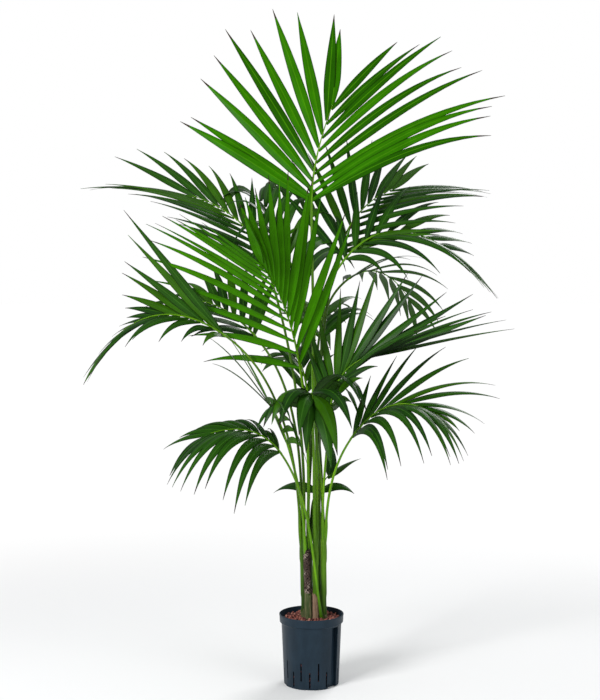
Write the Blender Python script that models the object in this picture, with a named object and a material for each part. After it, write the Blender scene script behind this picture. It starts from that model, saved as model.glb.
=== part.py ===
# Kentia palm built together with its grow pot: pot, clay fill, a clump of six stems, the leaf
# stalks that leave them, and the fronds. Metres, +Z up. The origin is the centre of the pot's
# flat underside, +X is the right of the picture and -Y is the side that the picture shows.

import math
import random

import bmesh
import bpy
from mathutils import Matrix, Vector
from mathutils.bvhtree import BVHTree

UP = Vector((0, 0, 1))

# Clearances
GAP = 0.0003
LEAF_CLEARANCE = 0.0008

# Pot: a tapering nursery pot for clay pellets, with a rim band, root slits and a gauge channel
POT_HEIGHT = 0.198
POT_RIM_RADIUS = 0.090
POT_SHOULDER_RADIUS = 0.0835
POT_FOOT_RADIUS = 0.0765
POT_BAND = 0.023
POT_LEDGE = 0.004
POT_WALL = 0.0024
POT_FLOOR = 0.003
POT_SIDES = 40
POT_ROUNDING = 0.003
POT_RIM_SET_IN = 0.0035
POT_RIM_CHAMFER = 0.001
BELOW = 0.01
CHANNEL_ANGLE = -38.0
CHANNEL_WIDTH = 0.026
CHANNEL_DEPTH = 0.009
CHANNEL_TOP = 0.170
CHANNEL_REACH = 0.02
NOTCH_ANGLE = -42.0
NOTCH_WIDTH = 0.034
NOTCH_HEIGHT = 0.014
NOTCH_DEPTH = 0.022
SLIT_COUNT = 20
SLIT_WIDTH = 0.0045
SLIT_FIRST_ANGLE = -93.8
SLIT_CUT = 0.016
SLIT_CLEAR_OF_CHANNEL = 15.0
LOW_SLIT = (0.005, 0.049)
HIGH_SLIT = (0.024, 0.075)

# Clay fill
CLAY_TOP = 0.189
CLAY_SIDES = 32
CLAY_CLEARANCE = 0.0006
CLAY_FOOT_CHAMFER = 0.001
CLAY_TOP_CHAMFER = 0.004

# Stems: foot and top in metres, radius at the flared foot and at the top
STEM_SIDES = 10
STEM_RINGS = 6
STEM_FLARE = 1.22
STEMS = {
    "left": dict(foot=(-0.019, 0.012), top=(-0.026, 0.015, 0.430), radius=(0.0088, 0.0098)),
    "fibre": dict(foot=(-0.009, -0.012), top=(-0.013, -0.010, 0.388), radius=(0.0085, 0.0094)),
    "middle": dict(foot=(0.012, -0.010), top=(0.011, -0.012, 0.420), radius=(0.0075, 0.0094)),
    "right": dict(foot=(0.033, -0.004), top=(0.034, -0.003, 0.440), radius=(0.0090, 0.0098)),
    "back_left": dict(foot=(-0.004, 0.037), top=(-0.006, 0.040, 0.425), radius=(0.0085, 0.0096)),
    "back_right": dict(foot=(0.024, 0.027), top=(0.025, 0.030, 0.435), radius=(0.0088, 0.0098)),
}

# Leaf stalks
STALK_SIDES = 6
STALK_RINGS = 7
STALK_RADIUS = (0.0045, 0.0034)
SLOT_CIRCLE = 0.0055
SLOT_LEAN = 0.04

# Ribs and leaflets
RIB_SIDES = 4
RIB_RINGS = 5
RIB_RADIUS = (0.0038, 0.0020)
LEAF_BEND_STEPS = 12
LEAF_THICKNESS = 1.0 / 90.0
LEAF_ROOT_WIDTH = 0.33
LEAF_BROADEST = 0.42
LEAF_TIP_POWER = 1.1
LEAF_ROOT_HEIGHT = 0.0022
LEAF_ROOT_DEPTH = 0.0008
LEAF_START = 0.0025
STIFF_STATIONS = (0.0, 0.25, 0.58, 1.0)
HANGING_STATIONS = (0.0, 0.17, 0.42, 0.70, 1.0)
STIFF_DROOP = 0.62
PAIR_STAGGER = 0.35
JITTER = dict(turn=2.5, length=0.05, droop=0.12)
TRIES = ((0, 1.0), (4, 1.0), (-4, 1.0), (8, 0.95), (-8, 0.95), (12, 0.85), (0, 0.7), (-12, 0.6), (6, 0.5))


def side(spread, length, droop, rise=(10, 10), slim=1.0):
    """One side of a blade: values at neck and tip, the length also midway, and a share of width."""
    return dict(spread=spread, length=length, droop=droop, rise=rise, slim=slim)


# Fronds, from the top of the crown down. Neck, crest and tip are places of the rib, heading is
# the compass direction of the arch (0 right, 90 back), slot the stalk's seat on its stem's top.
FRONDS = {
    "top": dict(
        stem="middle", slot=60, heading=85, roll=0, pairs=10, first=0.02, crowd=1.30, width=0.037,
        taper=3.0, tone="bright",
        neck=(0.000, 0.050, 1.340), crest=(0.015, 0.095, 1.470), tip=(0.060, 0.160, 1.620),
        left=side((58, 10), (0.42, 0.60, 0.26), (0.1, 0.0), (5, 5)),
        right=side((60, 20), (0.56, 0.64, 0.25), (0.55, 0.15), (5, 5), 0.8)),
    "front": dict(
        stem="fibre", slot=60, heading=250, roll=0, pairs=12, first=0.06, crowd=0.9, width=0.030,
        taper=2.2, tone="bright",
        neck=(-0.030, -0.060, 0.880), crest=(-0.070, -0.140, 1.050), tip=(-0.130, -0.260, 1.175),
        left=side((30, 8), (0.40, 0.54, 0.22), (0.0, 0.0)),
        right=side((80, 30), (0.28, 0.62, 0.18), (0.5, 0.0))),
    "middle_right": dict(
        stem="right", slot=230, heading=0, roll=25, pairs=11, first=0.02, crowd=1.0, width=0.032,
        taper=1.9, tone="deep",
        neck=(0.050, -0.040, 0.765), crest=(0.083, -0.060, 0.870), tip=(0.162, -0.080, 0.925),
        left=side((34, 6), (0.20, 0.34, 0.32), (0.0, 0.0), (40, 30)),
        right=side((64, 8), (0.12, 0.44, 0.42), (0.5, 0.1))),
    "lower_right": dict(
        stem="right", slot=350, heading=-12, roll=20, pairs=10, first=0.02, crowd=1.0, width=0.032,
        taper=1.7, tone="deep", split=0.45,
        neck=(0.105, -0.070, 0.695), crest=(0.195, -0.115, 0.786), tip=(0.295, -0.160, 0.792),
        left=side((28, 8), (0.16, 0.44, 0.12), (0.1, 0.9), (30, 0)),
        right=side((48, 16), (0.30, 0.34, 0.18), (2.2, 1.8))),
    "lower_left": dict(
        stem="", heading=188, roll=-20, pairs=9, first=0.02, crowd=1.0, width=0.033,
        taper=1.9, tone="deep", split=0.45,
        foot=(0.029, -0.021, CLAY_TOP), foot_lean=(-0.17, -0.04, 1.0),
        neck=(-0.082, -0.072, 0.655), crest=(-0.162, -0.110, 0.722), tip=(-0.270, -0.150, 0.722),
        left=side((54, 20), (0.29, 0.36, 0.18), (2.0, 1.5), (0, 5)),
        right=side((50, 16), (0.10, 0.12, 0.14), (1.4, 0.7))),
    "low_front": dict(
        stem="middle", slot=240, heading=290, roll=0, pairs=6, first=0.02, crowd=1.0, width=0.050,
        taper=2.2, tone="deep",
        neck=(0.000, -0.090, 0.765), crest=(-0.003, -0.130, 0.825), tip=(0.003, -0.190, 0.815),
        left=side((50, 15), (0.24, 0.26, 0.20), (3.0, 2.5), (20, 20)),
        right=side((50, 15), (0.20, 0.20, 0.18), (3.0, 2.5), (20, 20))),
    "small_left": dict(
        stem="fibre", slot=220, heading=200, roll=0, pairs=6, first=0.02, crowd=1.0, width=0.026,
        taper=1.7, tone="middle",
        neck=(-0.065, -0.045, 0.675), crest=(-0.093, -0.070, 0.755), tip=(-0.118, -0.110, 0.800),
        left=side((70, 30), (0.16, 0.22, 0.26), (2.5, 0.6)),
        right=side((40, 12), (0.20, 0.32, 0.24), (0.4, 0.4))),
    "arching_left": dict(
        stem="left", slot=210, heading=185, roll=-25, pairs=11, first=0.01, crowd=1.0, width=0.032,
        taper=1.8, tone="deep", split=0.4,
        neck=(-0.235, -0.030, 0.975), crest=(-0.395, -0.050, 1.035), tip=(-0.535, -0.060, 0.972),
        left=side((46, 24), (0.08, 0.32, 0.16), (1.4, 0.6)),
        right=side((17, 14), (0.45, -0.08, 0.16), (0.0, 0.5), (75, -40))),
    "arching_right": dict(
        stem="right", slot=110, heading=15, roll=30, pairs=9, first=0.02, crowd=1.0, width=0.031,
        taper=1.8, tone="deep", split=0.4,
        neck=(0.090, 0.080, 1.180), crest=(0.215, 0.120, 1.262), tip=(0.365, 0.160, 1.228),
        left=side((48, 26), (0.18, 0.30, 0.14), (0.6, 0.3), (20, 15)),
        right=side((62, 30), (0.14, 0.50, 0.20), (1.5, 0.6))),
    "upper_left": dict(
        stem="left", slot=330, heading=150, roll=-30, pairs=10, first=0.02, crowd=1.0, width=0.030,
        taper=1.7, tone="deep",
        neck=(-0.125, 0.120, 1.165), crest=(-0.205, 0.180, 1.290), tip=(-0.345, 0.260, 1.368),
        left=side((56, 10), (0.26, 0.40, 0.36), (0.3, 0.35)),
        right=side((46, 8), (0.17, 0.22, 0.36), (0.8, 0.1), (20, 20))),
    "upper_right": dict(
        stem="back_right", slot=240, heading=40, roll=30, pairs=10, first=0.02, crowd=1.0, width=0.031,
        taper=1.8, tone="deep",
        neck=(0.075, 0.120, 1.195), crest=(0.137, 0.200, 1.315), tip=(0.240, 0.300, 1.390),
        left=side((54, 12), (0.28, 0.32, 0.20), (0.2, 0.2), (20, 20)),
        right=side((70, 26), (0.28, 0.42, 0.30), (0.4, 0.4))),
    "upper_back": dict(
        stem="back_left", slot=240, heading=110, roll=0, pairs=8, first=0.02, crowd=1.0, width=0.042,
        taper=1.9, tone="deep",
        neck=(-0.030, 0.150, 1.095), crest=(-0.100, 0.225, 1.270), tip=(-0.155, 0.340, 1.360),
        left=side((50, 30), (0.25, 0.26, 0.20), (2.2, 2.2), (50, 50)),
        right=side((50, 30), (0.25, 0.30, 0.20), (2.2, 2.2), (50, 50))),
    "middle_left": dict(
        stem="left", slot=90, heading=160, roll=-30, pairs=9, first=0.02, crowd=1.0, width=0.033,
        taper=1.7, tone="deep",
        neck=(-0.155, 0.080, 0.965), crest=(-0.245, 0.120, 1.040), tip=(-0.335, 0.180, 1.065),
        left=side((55, 14), (0.22, 0.24, 0.18), (1.0, 0.5), (20, 20)),
        right=side((60, 20), (0.25, 0.24, 0.12), (0.8, 0.5), (20, 20))),
    "back_right": dict(
        stem="back_right", slot=0, heading=35, roll=-15, pairs=7, first=0.02, crowd=1.0, width=0.030,
        taper=1.7, tone="deep",
        neck=(0.105, 0.200, 1.125), crest=(0.205, 0.300, 1.145), tip=(0.300, 0.400, 1.060),
        left=side((50, 16), (0.20, 0.26, 0.16), (0.6, 0.6)),
        right=side((50, 16), (0.20, 0.26, 0.16), (1.0, 1.0))),
    "back": dict(
        stem="back_right", slot=120, heading=92, roll=0, pairs=7, first=0.02, crowd=1.0, width=0.038,
        taper=1.8, tone="deep",
        neck=(0.030, 0.190, 0.950), crest=(0.030, 0.310, 1.030), tip=(0.025, 0.450, 1.000),
        left=side((42, 16), (0.20, 0.26, 0.20), (1.1, 0.9), (15, 15)),
        right=side((42, 16), (0.20, 0.26, 0.20), (1.1, 0.9), (15, 15))),
    "low_back": dict(
        stem="back_left", slot=120, heading=108, roll=0, pairs=6, first=0.02, crowd=1.0, width=0.038,
        taper=1.8, tone="deep",
        neck=(-0.010, 0.125, 0.800), crest=(-0.035, 0.220, 0.890), tip=(-0.070, 0.340, 0.895),
        left=side((36, 14), (0.16, 0.20, 0.16), (0.7, 0.7), (20, 15)),
        right=side((36, 14), (0.16, 0.20, 0.16), (0.7, 0.7), (20, 15))),
    "small_back": dict(
        stem="back_left", slot=0, heading=60, roll=0, pairs=2, first=0.10, crowd=1.0, width=0.042,
        taper=2.2, tone="deep",
        neck=(0.014, 0.086, 0.520), crest=(0.032, 0.110, 0.545), tip=(0.052, 0.134, 0.568),
        left=side((92, 26), (0.16, 0.12, 0.12), (1.2, 0.3)),
        right=side((64, 12), (0.11, 0.13, 0.12), (1.4, 0.2))),
}

# Finishes: colour, roughness, metallic
FINISHES = {
    "pot_plastic": ((0.021, 0.036, 0.054), 0.42, 0.0),
    "clay_pellets": ((0.136, 0.047, 0.041), 0.90, 0.0),
    "green_stem": ((0.120, 0.270, 0.022), 0.45, 0.0),
    "brown_fibre": ((0.070, 0.045, 0.028), 0.90, 0.0),
    "leaf_bright": ((0.045, 0.240, 0.006), 0.38, 0.0),
    "leaf_middle": ((0.050, 0.170, 0.012), 0.38, 0.0),
    "leaf_deep": ((0.022, 0.095, 0.017), 0.35, 0.0),
}


# Helpers

def clear_scene():
    for item in list(bpy.data.objects):
        bpy.data.objects.remove(item, do_unlink=True)


def finish(name):
    """The named finish as a material, made once."""
    material = bpy.data.materials.get(name)
    if material is None:
        colour, roughness, metallic = FINISHES[name]
        material = bpy.data.materials.new(name)
        material.use_nodes = True
        shader = material.node_tree.nodes["Principled BSDF"]
        shader.inputs["Base Color"].default_value = (*colour, 1.0)
        shader.inputs["Roughness"].default_value = roughness
        shader.inputs["Metallic"].default_value = metallic
    return material


def add_object(name, bm, material):
    """Turn a bmesh into a named object with one material, faces pointing out."""
    bmesh.ops.recalc_face_normals(bm, faces=bm.faces)
    mesh = bpy.data.meshes.new(name)
    bm.to_mesh(mesh)
    bm.free()
    mesh.shade_smooth()
    mesh.set_sharp_from_angle(angle=math.radians(35))
    mesh.materials.append(finish(material))
    item = bpy.data.objects.new(name, mesh)
    bpy.context.scene.collection.objects.link(item)
    return item


def combine(target, operation, cutters, solver="EXACT"):
    """Apply one Boolean with a collection of objects to the target, then remove them."""
    group = bpy.data.collections.new(target.name + "_parts")
    bpy.context.scene.collection.children.link(group)
    for cutter in cutters:
        bpy.context.scene.collection.objects.unlink(cutter)
        group.objects.link(cutter)
        cutter.hide_render = True
        cutter.display_type = "WIRE"
    boolean = target.modifiers.new("combine", "BOOLEAN")
    boolean.operation = operation
    boolean.operand_type = "COLLECTION"
    boolean.collection = group
    boolean.solver = solver
    bpy.context.view_layer.update()
    result = bpy.data.meshes.new_from_object(target.evaluated_get(bpy.context.evaluated_depsgraph_get()))
    target.modifiers.clear()
    result.name = target.name
    target.data = result
    for cutter in cutters:
        bpy.data.objects.remove(cutter, do_unlink=True)
    bpy.data.collections.remove(group)


def ring(bm, centre, normal, radius, sides, phase=0.0):
    """A ring of vertices round a centre, square to the normal."""
    turn = UP.rotation_difference(normal).to_matrix()
    verts = []
    for k in range(sides):
        angle = phase + 2 * math.pi * k / sides
        verts.append(bm.verts.new(centre + turn @ Vector((math.cos(angle), math.sin(angle), 0)) * radius))
    return verts


def loft(bm, rings):
    """Skin a row of equal rings and close both ends."""
    sides = len(rings[0])
    for low, high in zip(rings, rings[1:]):
        for k in range(sides):
            bm.faces.new((low[k], low[(k + 1) % sides], high[(k + 1) % sides], high[k]))
    bm.faces.new(reversed(rings[0]))
    bm.faces.new(rings[-1])


def lathe(name, profile, sides, material):
    """A closed body turned round Z from (radius, height) points that start and end on the axis."""
    bm = bmesh.new()
    verts = [bm.verts.new((radius, 0, height)) for radius, height in profile]
    edges = [bm.edges.new(pair) for pair in zip(verts, verts[1:])]
    bmesh.ops.spin(bm, geom=verts + edges, cent=(0, 0, 0), axis=(0, 0, 1), angle=2 * math.pi,
                   steps=sides, use_merge=True)
    bmesh.ops.remove_doubles(bm, verts=bm.verts, dist=0.00001)
    return add_object(name, bm, material)


def block(name, size, place, angle=0.0):
    """A box of the given size, its centre at place in a frame turned by angle about Z."""
    bm = bmesh.new()
    bmesh.ops.create_cube(bm, size=1.0)
    bmesh.ops.scale(bm, verts=bm.verts, vec=size)
    bmesh.ops.translate(bm, verts=bm.verts, vec=place)
    bmesh.ops.rotate(bm, verts=bm.verts, cent=(0, 0, 0), matrix=Matrix.Rotation(math.radians(angle), 3, "Z"))
    return add_object(name, bm, "pot_plastic")


def mix(pair, t):
    return pair[0] + (pair[1] - pair[0]) * t


def three_way(values, t):
    """A curve from the first to the last value, pulled towards the middle one."""
    return values[0] * (1 - t) ** 2 + 2 * values[1] * t * (1 - t) + values[2] * t * t


# Pot and clay

def pot_radius(height):
    return mix((POT_FOOT_RADIUS, POT_SHOULDER_RADIUS), height / (POT_HEIGHT - POT_BAND))


def channel_block(name, grow, bottom):
    """The gauge channel as a block let into the pot's wall, grown by some wall thickness."""
    outer = POT_RIM_RADIUS + CHANNEL_REACH
    inner = POT_FOOT_RADIUS - CHANNEL_DEPTH - grow
    size = (outer - inner, CHANNEL_WIDTH + 2 * grow, CHANNEL_TOP + grow - bottom)
    place = ((outer + inner) / 2, 0, bottom + size[2] / 2)
    return block(name, size, place, CHANNEL_ANGLE)


def slit_blocks():
    """The narrow root slits, low and high in turn, that go all the way round but for the channel."""
    slits = []
    for k in range(SLIT_COUNT):
        angle = SLIT_FIRST_ANGLE + 360 / SLIT_COUNT * k
        away = abs((angle - CHANNEL_ANGLE + 180) % 360 - 180)
        if away < SLIT_CLEAR_OF_CHANNEL:
            continue
        bottom, top = LOW_SLIT if k % 2 == 0 else HIGH_SLIT
        size = (SLIT_CUT, SLIT_WIDTH, top - bottom)
        place = (pot_radius(bottom), 0, (bottom + top) / 2)
        slits.append(block("slit", size, place, angle))
    return slits


def notch_block(name, grow):
    """The gap left under the channel, where the pot's wall stops short of the foot."""
    size = (NOTCH_DEPTH + 2 * grow, NOTCH_WIDTH + 2 * grow, NOTCH_HEIGHT + BELOW + grow)
    place = (POT_FOOT_RADIUS, 0, (NOTCH_HEIGHT - BELOW + grow) / 2)
    return block(name, size, place, NOTCH_ANGLE)


def build_pot():
    shoulder = POT_HEIGHT - POT_BAND
    pot = lathe("pot", (
        (0, 0), (POT_FOOT_RADIUS - POT_ROUNDING, 0), (POT_FOOT_RADIUS, POT_ROUNDING),
        (POT_SHOULDER_RADIUS, shoulder - POT_LEDGE), (POT_RIM_RADIUS - POT_RIM_SET_IN, shoulder),
        (POT_RIM_RADIUS - POT_RIM_CHAMFER, shoulder + POT_ROUNDING),
        (POT_RIM_RADIUS, POT_HEIGHT - POT_ROUNDING),
        (POT_RIM_RADIUS - POT_RIM_CHAMFER, POT_HEIGHT), (0, POT_HEIGHT)), POT_SIDES, "pot_plastic")
    cavity = lathe("pot_cavity", (
        (0, POT_FLOOR), (POT_FOOT_RADIUS - POT_WALL, POT_FLOOR),
        (POT_SHOULDER_RADIUS - POT_WALL, shoulder),
        (POT_RIM_RADIUS - 2 * POT_WALL, shoulder + POT_LEDGE),
        (POT_RIM_RADIUS - POT_WALL, POT_HEIGHT - POT_LEDGE),
        (POT_RIM_RADIUS - POT_WALL, POT_HEIGHT + POT_BAND), (0, POT_HEIGHT + POT_BAND)),
        POT_SIDES, "pot_plastic")
    combine(cavity, "DIFFERENCE", [channel_block("channel_wall", POT_WALL, 0.0)])
    cutters = [cavity, channel_block("channel", 0.0, -BELOW), notch_block("notch", 0.0)]
    combine(pot, "DIFFERENCE", cutters + slit_blocks())
    return pot


def build_clay():
    grow = POT_WALL + CLAY_CLEARANCE
    top_radius = POT_SHOULDER_RADIUS - grow
    bottom = POT_FLOOR + CLAY_CLEARANCE
    clay = lathe("clay_fill", (
        (0, bottom), (POT_FOOT_RADIUS - grow - CLAY_FOOT_CHAMFER, bottom),
        (top_radius - CLAY_FOOT_CHAMFER, POT_HEIGHT - POT_BAND - CLAY_CLEARANCE),
        (top_radius - CLAY_TOP_CHAMFER, CLAY_TOP), (0, CLAY_TOP)), CLAY_SIDES, "clay_pellets")
    combine(clay, "DIFFERENCE", [channel_block("channel_clearance", grow, 0.0),
                                 notch_block("notch_clearance", CLAY_CLEARANCE)])
    return clay


# Stems and stalks

def limb(name, points, radii, sides, material, ends):
    """One tapering limb along a row of points, a ring at each, cut square to the two end directions."""
    bm = bmesh.new()
    rings = []
    for k, (point, radius) in enumerate(zip(points, radii)):
        before = points[max(0, k - 1)]
        after = points[min(len(points) - 1, k + 1)]
        normal = (after - before).normalized()
        if k == 0:
            normal = ends[0]
        elif k == len(points) - 1:
            normal = ends[1]
        rings.append(ring(bm, point, normal, radius, sides))
    loft(bm, rings)
    return add_object(name, bm, material)


def build_stems():
    stems = {}
    for name, stem in STEMS.items():
        foot = Vector((*stem["foot"], CLAY_TOP + GAP))
        top = Vector(stem["top"])
        points = []
        radii = []
        for k in range(STEM_RINGS):
            t = k / (STEM_RINGS - 1)
            points.append(foot.lerp(top, t))
            flare = 1 + (STEM_FLARE - 1) * (1 - t) ** 6
            radii.append(mix(stem["radius"], t) * flare)
        material = "brown_fibre" if name == "fibre" else "green_stem"
        stems[name] = limb("stem_" + name, points, radii, STEM_SIDES, material, (UP, UP))
    return stems


def rib_point(frond, t):
    """A place on the blade's rib: t is 0 at the neck, 1 at the tip, and the crest is midway."""
    neck, crest, tip = (Vector(frond[key]) for key in ("neck", "crest", "tip"))
    pull = 2 * crest - (neck + tip) / 2
    return neck * (1 - t) ** 2 + pull * 2 * t * (1 - t) + tip * t * t


def rib_direction(frond, t):
    step = 0.01
    return (rib_point(frond, t + step) - rib_point(frond, t - step)).normalized()


def stalk_foot(frond):
    """Where a stalk starts, and the direction it starts in."""
    if not frond["stem"]:
        return Vector(frond["foot"]) + UP * GAP, Vector(frond["foot_lean"]).normalized()
    top = Vector(STEMS[frond["stem"]]["top"])
    angle = math.radians(frond["slot"])
    out = Vector((math.cos(angle), math.sin(angle), 0))
    return top + out * SLOT_CIRCLE + UP * GAP, (UP + out * SLOT_LEAN).normalized()


def stalk_points(frond, rings):
    """A smooth curve from the stem's top into the start of the rib."""
    foot, lean = stalk_foot(frond)
    neck = Vector(frond["neck"])
    end = rib_direction(frond, 0.0)
    neck -= end * GAP
    reach = (neck - foot).length
    points = []
    for k in range(rings):
        t = k / (rings - 1)
        start_share = 2 * t ** 3 - 3 * t ** 2 + 1
        lean_share = t ** 3 - 2 * t ** 2 + t
        end_share = t ** 3 - t ** 2
        points.append(foot * start_share + neck * (1 - start_share)
                      + lean * lean_share * reach + end * end_share * reach)
    return points


def build_stalk(name, frond):
    points = stalk_points(frond, STALK_RINGS)
    radii = [mix(STALK_RADIUS, k / (STALK_RINGS - 1)) for k in range(STALK_RINGS)]
    return limb("stalk_" + name, points, radii, STALK_SIDES, "green_stem", (UP, rib_direction(frond, 0.0)))


# Fronds

def blade_frame(frond, t):
    """Along the rib, across the blade to its left, and up from its upper face."""
    along = rib_direction(frond, t)
    heading = math.radians(frond["heading"])
    across = Vector((-math.sin(heading), math.cos(heading), 0))
    across = (across - along * across.dot(along)).normalized()
    up = along.cross(across)
    roll = Matrix.Rotation(math.radians(frond["roll"]), 3, along)
    return along, roll @ across, roll @ up


def leaflet_spots(frond):
    """Each leaflet's side, its place on the rib and its own small variation."""
    chance = random.Random(frond["pairs"] * 1000 + frond["heading"])
    last = frond["pairs"] - 1
    spots = []
    for k in range(frond["pairs"]):
        for sign in (1, -1):
            t = mix((frond["first"], 1.0), (k / last) ** frond["crowd"])
            if sign < 0:
                t = max(0.0, t - PAIR_STAGGER / frond["pairs"])
            vary = {key: chance.uniform(-1, 1) * size for key, size in JITTER.items()}
            spots.append((sign, t, vary))
    return spots


def leaflet_line(frond, sign, t, vary, turn, shorten):
    """The leaflet's middle line as it leaves the rib and bends down under its weight."""
    spec = frond["left"] if sign > 0 else frond["right"]
    along, across, up = blade_frame(frond, t)
    spread = math.radians(mix(spec["spread"], t ** 0.9) + vary["turn"] + turn)
    rise = math.radians(mix(spec["rise"], t))
    sideways = across * sign * math.cos(rise) + up * math.sin(rise)
    start = along * math.cos(spread) + sideways * math.sin(spread)
    length = three_way(spec["length"], t) * (1 + vary["length"]) * shorten
    droop = mix(spec["droop"], t) * (1 + vary["droop"])
    broad = (along - start * along.dot(start)).normalized() * sign
    points = [rib_point(frond, t) + sideways * LEAF_ROOT_DEPTH - up * LEAF_ROOT_DEPTH]
    for k in range(LEAF_BEND_STEPS):
        u = (k + 0.5) / LEAF_BEND_STEPS
        direction = (start + Vector((0, 0, -droop * u ** 1.6))).normalized()
        points.append(points[-1] + direction * length / LEAF_BEND_STEPS)
    return points, start, broad, length, frond["width"] * spec["slim"]


def leaflet_width(u, taper):
    """Share of the full width: narrow at the rib, broadest short of the middle, a fine tip."""
    swell = LEAF_ROOT_WIDTH + (1 - LEAF_ROOT_WIDTH) * math.sin(min(1.0, u / LEAF_BROADEST) * math.pi / 2)
    return swell * max(0.0, 1 - u ** taper) ** LEAF_TIP_POWER


def leaflet_shape(frond, line, grow=0.0):
    """Vertices and faces of one leaflet: a roofed blade that closes to a point."""
    points, start, broad, length, width = line
    sagging = (points[-1] - points[0]).normalized().dot(start) < math.cos(STIFF_DROOP)
    stations = HANGING_STATIONS if sagging else STIFF_STATIONS
    verts = []
    for u in stations[:-1]:
        place = u * LEAF_BEND_STEPS
        k = min(int(place), LEAF_BEND_STEPS - 1)
        centre = points[k].lerp(points[k + 1], place - k)
        direction = (points[k + 1] - points[k]).normalized()
        flat = (broad - direction * broad.dot(direction)).normalized()
        up = flat.cross(direction)
        half = flat * (width * leaflet_width(u, frond["taper"]) / 2 + grow)
        height = length * LEAF_THICKNESS * (1 - 0.3 * u) if u > 0 else LEAF_ROOT_HEIGHT
        verts += [centre - half - up * grow, centre + up * (height + grow), centre + half - up * grow]
    verts.append(points[-1] + (points[-1] - points[-2]).normalized() * grow)
    faces = [(2, 1, 0)]
    rows = len(stations) - 1
    for row in range(rows - 1):
        for k in range(3):
            low, high = 3 * row + k, 3 * row + (k + 1) % 3
            faces.append((low, high, high + 3))
            faces.append((low, high + 3, low + 3))
    for k in range(3):
        faces.append((3 * rows - 3 + k, 3 * rows - 3 + (k + 1) % 3, 3 * rows))
    return verts, faces


def box_of(verts):
    low = Vector((min(v[k] for v in verts) for k in range(3)))
    high = Vector((max(v[k] for v in verts) for k in range(3)))
    return low, high


def boxes_meet(a, b):
    return all(a[0][k] <= b[1][k] and b[0][k] <= a[1][k] for k in range(3))


def obstacle(owner, verts, faces):
    return dict(owner=owner, box=box_of(verts), tree=BVHTree.FromPolygons(verts, faces))


def object_obstacle(owner, item):
    verts = [item.matrix_world @ v.co for v in item.data.vertices]
    return obstacle(owner, verts, [tuple(face.vertices) for face in item.data.polygons])


def meets(candidate, others):
    return any(boxes_meet(candidate["box"], other["box"]) and candidate["tree"].overlap(other["tree"])
               for other in others)


def outer_part(verts, faces):
    """A leaflet without its root, which may touch the roots beside it."""
    return verts[3:], [tuple(k - 3 for k in face) for face in faces if min(face) > 2]


def rib_limb(name, frond, low, high):
    """The rib between two places along the blade."""
    points = []
    radii = []
    for k in range(RIB_RINGS):
        t = low + (high - low) * k / (RIB_RINGS - 1)
        points.append(rib_point(frond, t))
        radii.append(mix(RIB_RADIUS, t))
    ends = (rib_direction(frond, low), rib_direction(frond, high))
    return limb(name, points, radii, RIB_SIDES, "leaf_" + frond["tone"], ends)


def blade_pieces(name, frond):
    """A frond's nodes: one blade, or two for a rib that bends round a wide gap."""
    if "split" not in frond:
        return [("frond_" + name, 0.0, 1.0)]
    length = (rib_point(frond, 1.0) - rib_point(frond, 0.0)).length
    half_gap = GAP / length
    return [("frond_" + name + "_inner", 0.0, frond["split"] - half_gap),
            ("frond_" + name + "_outer", frond["split"] + half_gap, 1.0)]


def largest_piece(item):
    """Drop loose scraps that a union can leave, keeping the biggest connected piece."""
    bm = bmesh.new()
    bm.from_mesh(item.data)
    left = set(bm.verts)
    groups = []
    while left:
        group = {left.pop()}
        edge = list(group)
        while edge:
            vert = edge.pop()
            for link in vert.link_edges:
                other = link.other_vert(vert)
                if other in left:
                    left.remove(other)
                    group.add(other)
                    edge.append(other)
        groups.append(group)
    keep = max(groups, key=len)
    bmesh.ops.delete(bm, geom=[v for v in bm.verts if v not in keep], context="VERTS")
    bmesh.ops.triangulate(bm, faces=bm.faces)
    bm.to_mesh(item.data)
    bm.free()


def place_leaflets(frond, pieces, obstacles):
    """Give each leaflet its place, turning or shortening it until it clears its neighbours."""
    placed = {piece[0]: [] for piece in pieces}
    clear = frond["width"] * LEAF_ROOT_WIDTH / 2 + LEAF_START
    start = clear / (rib_point(frond, 1.0) - rib_point(frond, 0.0)).length
    neighbours = []
    skipped = 0
    for sign, t, vary in leaflet_spots(frond):
        piece = pieces[0] if t <= pieces[0][2] or len(pieces) == 1 else pieces[1]
        t = min(max(t, piece[1] + start), piece[2])
        for turn, shorten in TRIES:
            line = leaflet_line(frond, sign, t, vary, turn, shorten)
            shape = leaflet_shape(frond, line, LEAF_CLEARANCE)
            whole = obstacle(piece[0], *shape)
            outer = obstacle(piece[0], *outer_part(*shape))
            strangers = [other for other in obstacles if other["owner"] != piece[0]]
            if not meets(whole, strangers) and not meets(outer, neighbours):
                obstacles.append(whole)
                neighbours.append(outer)
                placed[piece[0]].append(leaflet_shape(frond, line))
                break
        else:
            skipped += 1
    return placed, skipped


def build_fronds(limbs):
    obstacles = [object_obstacle(item.name, item) for item in limbs]
    ribs = {}
    for name, frond in FRONDS.items():
        for piece, low, high in blade_pieces(name, frond):
            ribs[piece] = rib_limb(piece, frond, low, high)
            obstacles.append(object_obstacle(piece, ribs[piece]))
    for name, frond in FRONDS.items():
        pieces = blade_pieces(name, frond)
        placed, skipped = place_leaflets(frond, pieces, obstacles)
        for piece, shapes in placed.items():
            leaves = []
            for verts, faces in shapes:
                mesh = bpy.data.meshes.new("leaflet")
                mesh.from_pydata(verts, [], faces)
                leaf = bpy.data.objects.new("leaflet", mesh)
                bpy.context.scene.collection.objects.link(leaf)
                leaves.append(leaf)
            combine(ribs[piece], "UNION", leaves, "MANIFOLD")
            largest_piece(ribs[piece])
        print(name, "leaflets", sum(len(v) for v in placed.values()), "skipped", skipped)


def main():
    clear_scene()
    pot = build_pot()
    clay = build_clay()
    stems = build_stems()
    stalks = [build_stalk(name, frond) for name, frond in FRONDS.items()]
    build_fronds([pot, clay, *stems.values(), *stalks])


main()
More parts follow.
